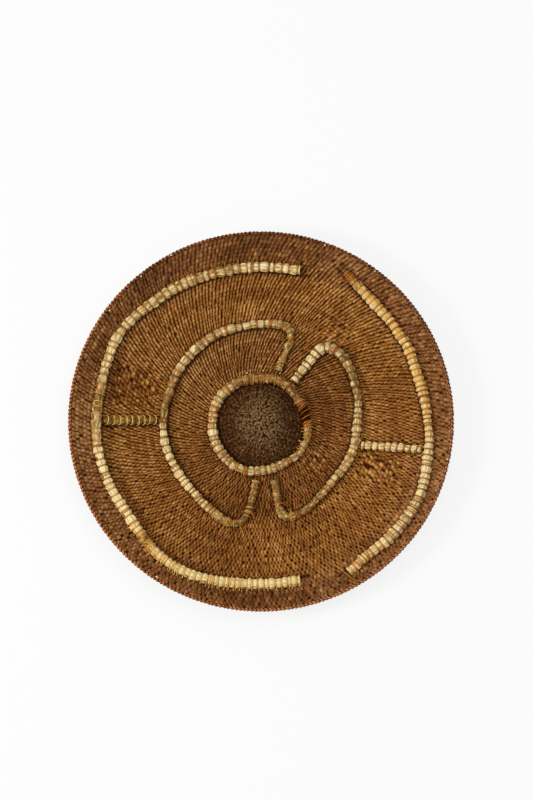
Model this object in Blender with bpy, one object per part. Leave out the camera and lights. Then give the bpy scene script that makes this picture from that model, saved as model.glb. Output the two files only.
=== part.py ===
"""Wedding basket: a shallow coiled tray with a raised boss and seven lashed ribs.

The tray lies flat with its decorated side up and rests on a narrow ring of its underside.
It is wound outwards as one spiral, in lengths of coil that are spliced under the ribs.
Each rib is a core of stems under a wrapping of husk, lashed down by a strand.
Lengths are in metres, +Z is up, and the origin is under the middle of the tray.
"""

import math

import bmesh
import bpy
from mathutils import Vector

# Tray: outline and the height of its upper side over the ground
tray_radius = 0.2285
wall_thickness = 0.0050
rest_radius = 0.1150
rim_rise = 0.0270
crown_rise = 0.0070
boss_rise = 0.0120
flare_power_share = 1.7
rest_flat_depth = 0.0005

# Coil: the rows of the spiral from the middle to the rim, low ridges with grooves between them
coil_rows = 50
groove_depth = 0.0009
rim_coil_width = 0.0046
rim_coil_height = 0.0058
seam_gap = 0.0003
column_length = 0.0300
fewest_columns = 28
rim_coil_sides = 6
edge_margin_share = 0.35

# Lengths of coil end under the ribs, at these shares of the tray's radius
boss_edge_share = 0.247
inner_edge_share = 0.515
outer_edge_share = 0.850

# Ribs: husk wrapping over a core, and the strand that lashes it down
rib_width = 0.0114
rib_height = 0.0068
husk_thickness = 0.0008
lash_width = 0.0016
lash_thickness = 0.0009
piece_clearance = 0.0004
seat_gap = 0.0004
pinch_share = 0.92
bend_crowding = 0.0350
end_share = 0.92

# Half of a rib's arched section, foot to crown: shares of its half width and of its height
arch_shares = [(1.00, 0.00), (0.86, 0.60), (0.00, 1.00)]

# Routes of the ribs: degrees from +X, share of the tray's radius, share of the rib's size
centre_ring_route_shares = [
    (13, 0.235, 0.85), (36, 0.226, 0.92), (57, 0.237, 0.97), (78, 0.236, 1.03), (110, 0.240, 1.05),
    (139, 0.249, 1.05), (165, 0.254, 0.92), (195, 0.254, 0.97), (222, 0.259, 1.05),
    (249, 0.263, 0.95), (271, 0.249, 0.95), (293, 0.242, 0.88), (323, 0.252, 0.75),
    (349, 0.246, 0.78),
]
outer_left_route_shares = [
    (75.8, 0.828, 1.00), (86.7, 0.820, 1.00), (97.7, 0.820, 1.05), (108.8, 0.824, 1.03),
    (120.1, 0.835, 1.10), (132.6, 0.846, 1.05), (143.0, 0.863, 0.92), (150.5, 0.868, 0.95),
    (159.9, 0.858, 0.92), (168.0, 0.850, 0.96), (178.6, 0.855, 1.00), (190.0, 0.858, 0.87),
    (201.9, 0.852, 0.90), (212.8, 0.846, 1.02), (223.4, 0.859, 1.00), (233.5, 0.880, 0.86),
    (242.0, 0.884, 0.94), (251.2, 0.874, 1.00), (261.8, 0.857, 1.05), (272.3, 0.854, 1.03),
    (283.7, 0.859, 0.98),
]
outer_right_route_shares = [
    (-60.1, 0.914, 0.85), (-51.7, 0.895, 1.05), (-43.5, 0.904, 1.10), (-35.4, 0.909, 1.08),
    (-26.0, 0.912, 1.00), (-15.2, 0.889, 0.95), (-5.2, 0.877, 0.88), (5.8, 0.859, 0.95),
    (15.7, 0.850, 1.02), (26.1, 0.856, 1.00), (36.8, 0.856, 1.00), (46.8, 0.858, 1.02),
    (55.7, 0.878, 0.88), (60.6, 0.899, 0.66),
]
inner_left_route_shares = [
    (72.6, 0.290, 0.75), (71.6, 0.370, 0.70), (71.0, 0.440, 0.70), (71.6, 0.488, 0.72),
    (73.6, 0.516, 0.78), (77.6, 0.532, 0.88), (86.5, 0.531, 0.87), (99.0, 0.523, 0.80),
    (113.8, 0.525, 0.95), (129.0, 0.520, 1.02), (145.0, 0.513, 0.98), (160.0, 0.507, 0.82),
    (177.9, 0.508, 0.80), (194.5, 0.506, 0.80), (211.8, 0.500, 0.90), (225.6, 0.503, 0.88),
    (238.0, 0.519, 0.98), (247.5, 0.539, 0.97), (253.8, 0.544, 0.85), (258.2, 0.530, 0.74),
    (260.8, 0.495, 0.70), (262.4, 0.440, 0.70), (263.6, 0.370, 0.70), (265.0, 0.300, 0.75),
]
inner_right_route_shares = [
    (-76.8, 0.305, 0.75), (-77.4, 0.370, 0.78), (-78.0, 0.430, 0.85), (-77.8, 0.472, 0.88),
    (-75.6, 0.501, 0.85), (-70.6, 0.513, 0.82), (-62.0, 0.507, 0.80), (-51.0, 0.487, 0.76),
    (-38.5, 0.478, 0.80), (-26.0, 0.489, 0.95), (-12.0, 0.497, 0.85), (0.0, 0.498, 0.88),
    (12.3, 0.518, 0.80), (23.6, 0.531, 0.85), (33.0, 0.546, 0.95), (41.0, 0.551, 0.98),
    (47.2, 0.540, 1.00), (50.8, 0.516, 1.05), (52.2, 0.475, 1.08), (52.3, 0.415, 1.05),
    (52.3, 0.350, 0.95), (52.6, 0.280, 0.80),
]
left_spoke_route_shares = [(179.4, 0.816, 1.00), (178.7, 0.680, 1.00), (178.0, 0.545, 1.00)]
right_spoke_route_shares = [(347.8, 0.537, 0.90), (349.4, 0.690, 0.90), (350.0, 0.838, 0.85)]

# Loops of the strand round each rib, each standing for about three of the real work
centre_ring_loops = 18
outer_left_loops = 24
outer_right_loops = 16
inner_left_loops = 22
inner_right_loops = 18
spoke_loops = 4

# Bare stretch of the centre ring, where its husk has worn off the core
ring_bare_start_share = 0.97
ring_bare_end_share = 1.03
route_steps = 16

# Colours, as linear red, green and blue
coil_brown = (0.262, 0.105, 0.025)
coil_dark_brown = (0.190, 0.070, 0.024)
boss_brown = (0.090, 0.048, 0.020)
border_brown = (0.165, 0.060, 0.022)
core_brown = (0.110, 0.055, 0.020)
husk_straw = (0.610, 0.500, 0.250)
spoke_brown = (0.300, 0.160, 0.055)
strand_orange = (0.480, 0.180, 0.036)
strand_yellow = (0.640, 0.380, 0.070)
roughness_share = 0.75
sharp_edge_degrees = 30


def clear_scene():
    for old in list(bpy.data.objects):
        bpy.data.objects.remove(old, do_unlink=True)


def new_material(name, colour):
    """Plain finish for one piece."""
    material = bpy.data.materials.new(name)
    material.use_nodes = True
    shader = material.node_tree.nodes["Principled BSDF"]
    shader.inputs["Base Color"].default_value = (*colour, 1.0)
    shader.inputs["Roughness"].default_value = roughness_share
    shader.inputs["Metallic"].default_value = 0.0
    return material


def add_piece(collection, name, bm, colour):
    """Turns a finished bmesh into a named object with its own finish."""
    bmesh.ops.recalc_face_normals(bm, faces=bm.faces)
    mesh = bpy.data.meshes.new(name)
    bm.to_mesh(mesh)
    bm.free()
    mesh.shade_smooth()
    mesh.set_sharp_from_angle(angle=math.radians(sharp_edge_degrees))
    mesh.materials.append(new_material(name + "_finish", colour))
    piece = bpy.data.objects.new(name, mesh)
    collection.objects.link(piece)
    return piece


def rise(radius):
    """Height of the tray's curve: boss, crown, resting ring and flared rim."""
    height = 0.0
    boss_foot = boss_edge_share * tray_radius
    if radius < boss_foot:
        height += boss_rise * (1 - (radius / boss_foot) ** 2) ** 2
    if radius < rest_radius:
        height += crown_rise * (1 - (radius / rest_radius) ** 2) ** 2
    else:
        out_share = (radius - rest_radius) / (tray_radius - rest_radius)
        height += rim_rise * out_share ** flare_power_share
    return height


def upper_height(radius):
    """Crest of the coil rows on the upper side."""
    return wall_thickness + rise(radius)


def under_height(radius):
    """Underside, cut flat where the tray rests."""
    return max(rise(radius) - rest_flat_depth, 0.0)


def upper_normal(x, y):
    """Direction square to the tray's upper side."""
    radius = math.hypot(x, y)
    slope = (upper_height(radius + seam_gap) - upper_height(radius)) / seam_gap
    return Vector((-slope * x / radius, -slope * y / radius, 1.0)).normalized()


def rest_flat_radii():
    """Inner and outer edge of the flat ring that the tray stands on."""
    inner = rest_radius * math.sqrt(1 - math.sqrt(rest_flat_depth / crown_rise))
    reach_share = (rest_flat_depth / rim_rise) ** (1 / flare_power_share)
    return inner, rest_radius + (tray_radius - rest_radius) * reach_share


def column_count(radius):
    """Columns round a length of coil, a multiple of four."""
    return max(fewest_columns, 4 * round(math.tau * radius / column_length / 4))


def skin_face(bm, corners):
    """Adds a face from corners in order, leaving out corners that repeat."""
    kept = [c for i, c in enumerate(corners) if c is not corners[i - 1]]
    if len(kept) > 2:
        bm.faces.new(kept)


def coil_length(collection, name, inner_edge, outer_edge, colour):
    """One length of the coil: spiral rows on its upper side and a plain underside."""
    columns = column_count(outer_edge)
    half_row = tray_radius / coil_rows / 2
    inner = (inner_edge + seam_gap) / math.cos(math.pi / columns) if inner_edge else 0.0
    margin = half_row * edge_margin_share
    last_line = math.ceil(outer_edge / half_row) + 1
    first_line = math.floor(inner / half_row) - 2
    bm = bmesh.new()

    def ring(radius, height):
        if radius == 0:
            return [bm.verts.new((0, 0, height))] * columns
        turns = [math.tau * i / columns for i in range(columns)]
        return [bm.verts.new((radius * math.cos(t), radius * math.sin(t), height)) for t in turns]

    inner_top = ring(inner, upper_height(inner) - groove_depth * bool(inner))
    outer_top = ring(outer_edge, upper_height(outer_edge) - groove_depth)
    grid = {}

    def top_vertex(line, column):
        """Point of a spiral line, or of the edge that the line has run into."""
        if column == columns:
            line, column = line + 2, 0
        radius = half_row * (line + 2 * column / columns)
        if radius < inner + margin:
            return inner_top[column]
        if radius > outer_edge - margin:
            return outer_top[column]
        if (line, column) not in grid:
            turn = math.tau * column / columns
            height = upper_height(radius) - groove_depth * (line % 2)
            grid[line, column] = bm.verts.new((radius * math.cos(turn), radius * math.sin(turn), height))
        return grid[line, column]

    for column in range(columns):
        for line in range(first_line, last_line + 1):
            skin_face(bm, [
                top_vertex(line, column),
                top_vertex(line + 1, column),
                top_vertex(line + 1, column + 1),
                top_vertex(line, column + 1),
            ])

    flat_edges = [r for r in rest_flat_radii() if inner + margin < r < outer_edge - margin]
    radii = [inner]
    for end in flat_edges + [outer_edge]:
        start = radii[-1]
        steps = max(1, round((end - start) / column_length))
        radii += [start + (end - start) * (i + 1) / steps for i in range(steps)]
    rings = [inner_top] if inner else []
    rings += [ring(r, under_height(r)) for r in radii] + [outer_top]
    for low, high in zip(rings, rings[1:]):
        for i in range(columns):
            j = (i + 1) % columns
            skin_face(bm, [low[i], high[i], high[j], low[j]])
    return add_piece(collection, name, bm, colour)


def rim_coil(collection, name, colour):
    """The last row: one thicker coil round the edge, an oval ring."""
    columns = column_count(tray_radius)
    middle_radius = tray_radius - rim_coil_width / 2
    middle_height = rise(middle_radius) + wall_thickness / 2
    bm = bmesh.new()
    rows = []
    for i in range(columns):
        turn = math.tau * i / columns
        row = []
        for side in range(rim_coil_sides):
            angle = math.tau * side / rim_coil_sides
            radius = middle_radius + rim_coil_width / 2 * math.cos(angle)
            height = middle_height + rim_coil_height / 2 * math.sin(angle)
            row.append(bm.verts.new((radius * math.cos(turn), radius * math.sin(turn), height)))
        rows.append(row)
    for i in range(columns):
        for side in range(rim_coil_sides):
            here, there = rows[i], rows[(i + 1) % columns]
            beside = (side + 1) % rim_coil_sides
            bm.faces.new((here[side], here[beside], there[beside], there[side]))
    return add_piece(collection, name, bm, colour)


def smooth_route(route_shares, closed):
    """Points every short step along a smooth curve through a rib's route, with size shares."""
    corners = []
    for degrees, radius_share, size_share in route_shares:
        turn = math.radians(degrees)
        radius = radius_share * tray_radius
        corners.append(Vector((radius * math.cos(turn), radius * math.sin(turn), size_share)))
    count = len(corners)
    if not closed:
        corners = [2 * corners[0] - corners[1]] + corners + [2 * corners[-1] - corners[-2]]
    places = []
    for i in range(count if closed else count - 1):
        if closed:
            a, b, c, d = (corners[(i + k - 1) % count] for k in range(4))
        else:
            a, b, c, d = corners[i:i + 4]
        for step in range(route_steps):
            t = step / route_steps
            places.append(0.5 * (2 * b + (c - a) * t + (2 * a - 5 * b + 4 * c - d) * t ** 2
                                 + (3 * b - a - 3 * c + d) * t ** 3))
    places.append(places[0].copy() if closed else corners[-2].copy())
    return places


def rib_stations(route_shares, loops, closed):
    """Stations along a rib, closer in its bends, every second one under a loop of the strand."""
    places = smooth_route(route_shares, closed)
    travelled = [0.0]
    steps = [(after - before).to_2d() for before, after in zip(places, places[1:])]
    for before, step in zip([steps[0]] + steps, steps):
        travelled.append(travelled[-1] + step.length + bend_crowding * before.angle(step))
    count = 2 * loops
    spots = []
    span = 0
    for i in range(count + 1):
        target = travelled[-1] * i / count
        while span < len(places) - 2 and travelled[span + 1] < target:
            span += 1
        part = (target - travelled[span]) / (travelled[span + 1] - travelled[span])
        spots.append(places[span].lerp(places[span + 1], part))
    stations = []
    for i, spot in enumerate(spots):
        before, after = spots[max(i - 1, 0)], spots[min(i + 1, count)]
        if closed and i in (0, count):
            before, after = spots[count - 1], spots[1]
        legs = [(spot - before).to_2d(), (after - spot).to_2d()]
        ahead = sum((leg.normalized() for leg in legs), Vector((0.0, 0.0))).normalized()
        size_share = spot.z * (pinch_share if i % 2 else 1.0)
        if not closed and i in (0, count):
            size_share = spot.z * end_share
        stations.append((spot.to_2d(), ahead, size_share))
    return stations


def rib_lift():
    """Height of a rib's base over the tray: the strand passes under it."""
    return seat_gap + lash_thickness + piece_clearance


def section_point(station, across, up, along=0.0):
    """Point of a rib's section: the foot follows the tray, and up is square to it."""
    spot, ahead, _ = station
    x = spot.x - ahead.y * across + ahead.x * along
    y = spot.y + ahead.x * across + ahead.y * along
    foot = Vector((x, y, upper_height(math.hypot(x, y))))
    return foot + upper_normal(spot.x, spot.y) * up


def arch_outline(size_share, offset, drop=0.0):
    """Arch of a section from its left foot over the crown, moved out by an offset."""
    half = rib_width / 2 * size_share
    right = [(s * half, h * rib_height * size_share) for s, h in arch_shares]
    arch = [Vector((-x, y)) for x, y in right] + [Vector(p) for p in reversed(right[:-1])]
    moved = []
    for before, here, after in zip(arch, arch[1:], arch[2:]):
        ins = (here - before).normalized()
        outs = (after - here).normalized()
        out = Vector((-ins.y - outs.y, ins.x + outs.x)).normalized()
        moved.append(here + out * offset / out.dot(Vector((-ins.y, ins.x))))
    feet = half + offset
    moved = [Vector((-feet, -drop))] + moved + [Vector((feet, -drop))]
    return [(p.x, p.y + rib_lift()) for p in moved]


def loft(bm, sections, closed):
    """Skins equal outlines in order, with end caps unless they close on themselves."""
    rows = [[bm.verts.new(p) for p in section] for section in sections]
    sides = len(rows[0])
    pairs = list(zip(rows, rows[1:]))
    if closed:
        pairs.append((rows[-1], rows[0]))
    else:
        bm.faces.new(rows[0])
        bm.faces.new(reversed(rows[-1]))
    for here, there in pairs:
        for i in range(sides):
            j = (i + 1) % sides
            bm.faces.new((here[i], here[j], there[j], there[i]))


def rib_core(collection, name, stations, closed, colour):
    """Bundle of stems under the husk, flat on its underside."""
    kept = stations[:-1] if closed else stations
    inset = husk_thickness + piece_clearance
    sections = []
    for station in kept:
        outline = arch_outline(station[2], -inset)
        sections.append([section_point(station, x, y) for x, y in outline])
    bm = bmesh.new()
    loft(bm, sections, closed)
    return add_piece(collection, name, bm, colour)


def rib_husk(collection, name, stations, colour):
    """Husk strip folded over the core, a channel that is open below."""
    sections = []
    for station in stations:
        outline = arch_outline(station[2], 0.0) + arch_outline(station[2], -husk_thickness)[::-1]
        sections.append([section_point(station, x, y) for x, y in outline])
    bm = bmesh.new()
    loft(bm, sections, False)
    return add_piece(collection, name, bm, colour)


def rib_lashing(collection, name, stations, colour):
    """One strand wound round husk and core: over each lashed station, then under to the next."""
    near = piece_clearance
    far = piece_clearance + lash_thickness
    sections = []
    middles = []

    def add_section(station, inner, outer):
        """Flat section of the strand between its side to the rib and its outer side."""
        corners = [
            section_point(station, *inner, -lash_width / 2),
            section_point(station, *inner, lash_width / 2),
            section_point(station, *outer, lash_width / 2),
            section_point(station, *outer, -lash_width / 2),
        ]
        sections.append(corners)
        middles.append(sum(corners, Vector()) / len(corners))

    lashed = stations[1::2]
    for loop, station in enumerate(lashed):
        inner = arch_outline(station[2], near, near)
        outer = arch_outline(station[2], far, far)
        for low, high in zip(inner, outer):
            add_section(station, low, high)
        if loop < len(lashed) - 1:
            between = stations[2 * loop + 2]
            add_section(between, (0.0, rib_lift() - near), (0.0, rib_lift() - far))
    bm = bmesh.new()
    loft(bm, sections, False)
    points_a_loop = 2 * len(arch_shares)
    gaps = [
        (a - b).length - math.hypot(lash_width, lash_thickness)
        for i, a in enumerate(middles)
        for b in middles[i + points_a_loop - 1:]
    ]
    print(name, "loops", len(lashed), "least gap to itself", round(min(gaps), 5))
    return add_piece(collection, name, bm, colour)


def lashed_rib(collection, name, route_shares, loops, husk_colour, strand_colour, closed=False):
    """A whole rib: core, husk and lashing over one route."""
    stations = rib_stations(route_shares, loops, closed)
    husk_stations = stations
    if closed:
        count = len(stations) - 1
        first = round((ring_bare_end_share - 1) * count)
        last = round(ring_bare_start_share * count)
        husk_stations = stations[first:last + 1]
    rib_core(collection, name + "_core", stations, closed, core_brown)
    rib_husk(collection, name + "_husk", husk_stations, husk_colour)
    rib_lashing(collection, name + "_lashing", stations, strand_colour)


def build():
    clear_scene()
    collection = bpy.data.collections.new("wedding_basket")
    bpy.context.scene.collection.children.link(collection)

    boss_edge = boss_edge_share * tray_radius
    inner_edge = inner_edge_share * tray_radius
    outer_edge = outer_edge_share * tray_radius
    border_edge = tray_radius - rim_coil_width - seam_gap
    coil_length(collection, "centre_boss_coil", 0.0, boss_edge, boss_brown)
    coil_length(collection, "inner_field_coil", boss_edge, inner_edge, coil_dark_brown)
    coil_length(collection, "outer_field_coil", inner_edge, outer_edge, coil_brown)
    coil_length(collection, "border_coil", outer_edge, border_edge, border_brown)
    rim_coil(collection, "rim_coil", border_brown)

    ribs = [
        ("outer_left_arc", outer_left_route_shares, outer_left_loops),
        ("outer_right_arc", outer_right_route_shares, outer_right_loops),
        ("inner_left_arc", inner_left_route_shares, inner_left_loops),
        ("inner_right_arc", inner_right_route_shares, inner_right_loops),
        ("right_spoke", right_spoke_route_shares, spoke_loops),
    ]
    lashed_rib(collection, "centre_ring", centre_ring_route_shares, centre_ring_loops,
               husk_straw, strand_orange, True)
    for name, route_shares, loops in ribs:
        lashed_rib(collection, name, route_shares, loops, husk_straw, strand_orange)
    lashed_rib(collection, "left_spoke", left_spoke_route_shares, spoke_loops,
               spoke_brown, strand_yellow)


build()
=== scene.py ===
"""Looks of the wedding basket: a coiled tray with a raised boss and seven ribs lashed to it."""

import math

import bpy
import numpy as np
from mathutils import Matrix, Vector


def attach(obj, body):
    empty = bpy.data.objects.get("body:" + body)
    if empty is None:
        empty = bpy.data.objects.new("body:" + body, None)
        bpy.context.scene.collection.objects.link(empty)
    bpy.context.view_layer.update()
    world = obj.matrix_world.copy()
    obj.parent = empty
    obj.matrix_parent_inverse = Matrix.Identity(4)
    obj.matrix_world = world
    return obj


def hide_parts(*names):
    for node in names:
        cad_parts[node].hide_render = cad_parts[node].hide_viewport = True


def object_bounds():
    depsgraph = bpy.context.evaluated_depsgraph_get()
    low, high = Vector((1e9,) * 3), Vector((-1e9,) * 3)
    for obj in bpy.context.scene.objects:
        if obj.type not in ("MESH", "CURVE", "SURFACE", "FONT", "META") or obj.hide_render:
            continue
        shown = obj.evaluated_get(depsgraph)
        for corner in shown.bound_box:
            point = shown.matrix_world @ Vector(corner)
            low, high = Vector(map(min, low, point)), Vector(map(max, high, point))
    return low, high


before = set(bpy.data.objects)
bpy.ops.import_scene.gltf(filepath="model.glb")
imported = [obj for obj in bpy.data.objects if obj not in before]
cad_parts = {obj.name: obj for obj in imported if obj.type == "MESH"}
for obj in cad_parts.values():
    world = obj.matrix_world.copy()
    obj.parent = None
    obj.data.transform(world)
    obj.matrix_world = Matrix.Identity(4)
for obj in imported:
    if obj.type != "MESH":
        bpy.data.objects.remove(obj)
cad_low, cad_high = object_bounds()


# Setting: the tray lies on a pale floor in soft studio light, a little stronger from the
# left, and the camera looks down on it at the photograph's angle.
picture_height = 800
tray_per_pixel = 0.001184
camera_distance = 9.0
camera_elevation = math.radians(80)
aim = Vector((0.0065, 0.0272, 0.015))
floor_size = 12.0
floor_drop = 0.0002
key_place, key_size, key_power = Vector((-2.1, -0.4, 1.7)), 0.8, 42.0
top_place, top_size, top_power = Vector((0.5, 0.6, 2.4)), 1.6, 19.0
sky_strength = 0.34
seen_white_share = 0.84


def paint(code):
    """Linear colour of an sRGB hex value."""
    parts = [int(code[i:i + 2], 16) / 255 for i in (1, 3, 5)]
    linear = [p / 12.92 if p <= 0.04045 else ((p + 0.055) / 1.055) ** 2.4 for p in parts]
    return tuple(linear) + (1.0,)


def feed(tree, node, feeds):
    """Gives each named input of a node a value or another node's output."""
    for name, value in feeds.items():
        if isinstance(value, bpy.types.NodeSocket):
            tree.links.new(value, node.inputs[name])
        else:
            node.inputs[name].default_value = value


def add_node(tree, kind, feeds=None, stops=(), **settings):
    """Adds a shader node with its settings and links. Stops are a ramp's places and colours."""
    made = tree.nodes.new("ShaderNode" + kind)
    for name, value in settings.items():
        setattr(made, name, value)
    feed(tree, made, feeds or {})
    if stops:
        steps = made.color_ramp.elements
        steps.remove(steps[1])
        steps[0].position, steps[0].color = stops[0][0], paint(stops[0][1])
        for place, code in stops[1:]:
            steps.new(place).color = paint(code)
    return made


lens = bpy.data.cameras.new("camera")
lens.sensor_fit = "VERTICAL"
lens.lens = lens.sensor_height * camera_distance / (picture_height * tray_per_pixel)
camera = bpy.data.objects.new("camera", lens)
bpy.context.scene.collection.objects.link(camera)
back = Vector((0.0, -math.cos(camera_elevation), math.sin(camera_elevation)))
camera.location = aim + camera_distance * back
camera.rotation_euler = back.to_track_quat("Z", "Y").to_euler()
bpy.context.scene.camera = camera
bpy.context.scene.view_settings.view_transform = "Standard"

for name, place, size, power in (("key", key_place, key_size, key_power),
                                 ("top", top_place, top_size, top_power)):
    lamp = bpy.data.lights.new(name, "AREA")
    lamp.size = size
    lamp.energy = power
    holder = bpy.data.objects.new(name, lamp)
    holder.location = place
    holder.rotation_euler = place.to_track_quat("Z", "Y").to_euler()
    bpy.context.scene.collection.objects.link(holder)


def seen_directly(tree):
    """1 for rays that show the background itself, 0 for those that only light things."""
    path = add_node(tree, "LightPath")
    eye = path.outputs["Is Camera Ray"]
    for name in ("Is Glossy Ray", "Is Transmission Ray"):
        eye = add_node(tree, "Math", {0: eye, 1: path.outputs[name]},
                       operation="MAXIMUM").outputs[0]
    return eye


sky = bpy.data.worlds.new("sky")
sky.use_nodes = True
tree = sky.node_tree
tree.nodes.clear()
dim = add_node(tree, "Background", {"Color": (1, 1, 1, 1), "Strength": sky_strength})
bright = add_node(tree, "Background", {"Color": (1, 1, 1, 1), "Strength": 1.0})
either = add_node(tree, "MixShader", {0: seen_directly(tree), 1: dim.outputs[0],
                                      2: bright.outputs[0]})
add_node(tree, "OutputWorld", {"Surface": either.outputs[0]})
bpy.context.scene.world = sky

floor_mesh = bpy.data.meshes.new("floor")
half = floor_size / 2
floor_mesh.from_pydata([(x * half, y * half, 0) for x, y in ((-1, -1), (1, -1), (1, 1), (-1, 1))],
                       [], [(0, 1, 2, 3)])
floor = bpy.data.objects.new("floor", floor_mesh)
floor.location.z = cad_low.z - floor_drop
bpy.context.scene.collection.objects.link(floor)
# White card: matt, and seen mostly as plain white, so that only the soft shadows show on it
card = bpy.data.materials.new("white card")
card.use_nodes = True
tree = card.node_tree
tree.nodes.clear()
matt = add_node(tree, "BsdfDiffuse", {"Color": paint("#f4f4f2")})
white = add_node(tree, "Emission", {"Color": (1, 1, 1, 1), "Strength": 1.0})
share = add_node(tree, "Math", {0: seen_directly(tree), 1: seen_white_share},
                 operation="MULTIPLY")
both = add_node(tree, "MixShader", {0: share.outputs[0], 1: matt.outputs[0],
                                    2: white.outputs[0]})
add_node(tree, "OutputMaterial", {"Surface": both.outputs[0]})
floor_mesh.materials.append(card)


# Foundation: a bundle of dry grass wound outwards as one spiral, sewn tight to the row before
# it. It shows only as dark hollows between the stitches, on both sides of the tray.
tray_radius = (cad_high.x - cad_low.x) / 2
wall = 0.0050
rest_radius = 0.1150
rim_rise, crown_rise, boss_rise = 0.0270, 0.0070, 0.0120
flare_power = 1.7
rest_flat_depth = 0.0005
boss_edge, inner_edge, outer_edge = (share * tray_radius for share in (0.247, 0.515, 0.850))
rim_width, rim_height = 0.0046, 0.0058
rim_gap = 0.0003
border_edge = tray_radius - rim_width - rim_gap
rows = 50
row = tray_radius / rows
grass_depth, grass_groove = 0.0010, 0.0012
grass_width = 0.0070
grass_under_rim = 0.0008
millimetre = 0.001
slope_step = 0.2 * millimetre
# Share of each strip's place on the bake map that stays free at its sides
bake_margin = 0.06


def rise(radius):
    """Height of the tray's curve: boss, crown, resting ring and flared rim."""
    boss = boss_rise * np.clip(1 - (radius / boss_edge) ** 2, 0, None) ** 2
    crown = crown_rise * np.clip(1 - (radius / rest_radius) ** 2, 0, None) ** 2
    flare = np.clip((radius - rest_radius) / (tray_radius - rest_radius), 0, None) ** flare_power
    return boss + crown + rim_rise * flare


def upper(radius):
    return wall + rise(radius)


def under(radius):
    return np.clip(rise(radius) - rest_flat_depth, 0, None)


def on_tray(radius, angle, lift, surface=upper):
    """Points at a height square to a side of the tray, outwards from it."""
    slope = surface(radius + slope_step) - surface(np.abs(radius - slope_step))
    slope = slope / (2 * slope_step)
    across = 1 / np.sqrt(1 + slope ** 2)
    out = lift if surface is upper else -lift
    place = radius - slope * across * out
    height = surface(radius) + across * out
    return np.stack([place * np.cos(angle), place * np.sin(angle), height + 0 * place], -1)


def new_piece(name, points, loops, starts, cells, marks, material):
    """Object from points and faces, with its bake map, its marks, its place in the frame and
    its material."""
    mesh = bpy.data.meshes.new(name)
    mesh.vertices.add(len(points))
    mesh.vertices.foreach_set("co", points.astype(np.float32).ravel())
    mesh.loops.add(len(loops))
    mesh.loops.foreach_set("vertex_index", loops.astype(np.int32))
    mesh.polygons.add(len(starts))
    mesh.polygons.foreach_set("loop_start", starts.astype(np.int32))
    mesh.update(calc_edges=True)
    mesh.shade_smooth()
    for label, values in marks.items():
        kind = "FLOAT_VECTOR" if values.ndim > 1 else "FLOAT"
        mark = mesh.attributes.new(label, kind, "POINT")
        mark.data.foreach_set("vector" if values.ndim > 1 else "value",
                              values.astype(np.float32).ravel())
    layer = mesh.uv_layers.new(name="OFBake")
    layer.uv.foreach_set("vector", cells.astype(np.float32).ravel())
    piece = bpy.data.objects.new(name, mesh)
    bpy.context.scene.collection.objects.link(piece)
    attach(piece, "root")
    mesh.materials.append(material)
    return piece


def strips(name, points, marks, material, closed=False, flip=False):
    """Piece made of equal strips: points are strips x along x across x 3."""
    count, along, across, _ = points.shape
    columns = across if closed else across - 1
    down, over = np.meshgrid(np.arange(along - 1), np.arange(columns), indexing="ij")
    start, beside = down * across + over, down * across + (over + 1) % across
    faces = np.stack([start, beside, beside + across, start + across], -1).reshape(-1, 4)
    corners = np.stack([over[..., None] + [0, 1, 1, 0], down[..., None] + [0, 0, 1, 1]], -1)
    corners = corners.reshape(-1, 4, 2) / np.array([columns, along - 1])
    if flip:
        faces, corners = faces[:, ::-1], corners[:, ::-1]
    loops = (faces[None] + (np.arange(count) * along * across)[:, None, None]).ravel()
    side = math.ceil(math.sqrt(count))
    spots = np.stack([np.arange(count) % side, np.arange(count) // side], -1)
    inner_part = corners[None] * (1 - 2 * bake_margin)
    cells = (spots[:, None, None, :] + bake_margin + inner_part) / side
    flat = {}
    for label, values in marks.items():
        wide = (count, along, across) + values.shape[3:]
        flat[label] = np.broadcast_to(values, wide).reshape((-1,) + values.shape[3:])
    return new_piece(name, points.reshape(-1, 3), loops, np.arange(0, len(loops), 4),
                     cells.reshape(-1, 2), flat, material)


def coil_body(name, inner, outer, material):
    """Closed ring of foundation between two radii, ridged by its rows on both sides."""
    columns = 32 + int(math.tau * outer / grass_width)
    steps = 2 + int(((outer - inner) / row) * 3)
    wide = (1, columns + 1, steps)
    radii = np.broadcast_to(np.linspace(max(inner, 0.05 * millimetre), outer, steps), wide)
    angles = np.broadcast_to((np.arange(columns + 1) * math.tau / columns)[:, None], wide)
    groove = 0.5 - 0.5 * np.cos(math.tau * (radii / row - angles / math.tau))
    lift = -grass_depth - grass_groove * groove

    def both_sides(top, low):
        return np.concatenate([top, low[:, :, ::-1]], 2)

    points = both_sides(on_tray(radii, angles, lift), on_tray(radii, angles, lift, under))
    grain = [both_sides(part, part) / millimetre for part in (radii, angles * radii, 0 * radii)]
    strips(name, points, {"grain": np.stack(grain, -1)}, material, closed=True)


def new_material(name, marks):
    """A material with its nodes, its shader, and the marks it reads off a piece's points."""
    material = bpy.data.materials.new(name)
    material.use_nodes = True
    tree = material.node_tree
    read = [add_node(tree, "Attribute", attribute_name=label).outputs[output]
            for label, output in marks]
    return [material, tree, tree.nodes["Principled BSDF"]] + read


def streaks(tree, grain, across, along, detail):
    """Streaks along a stem or splint, as many to the millimetre as across and along say."""
    place = add_node(tree, "VectorMath", {0: grain, 1: (across, along, 1.0)},
                     operation="MULTIPLY")
    return add_node(tree, "TexNoise", {"Vector": place.outputs[0], "Scale": 1.0,
                                       "Detail": detail}).outputs[0]


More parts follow.
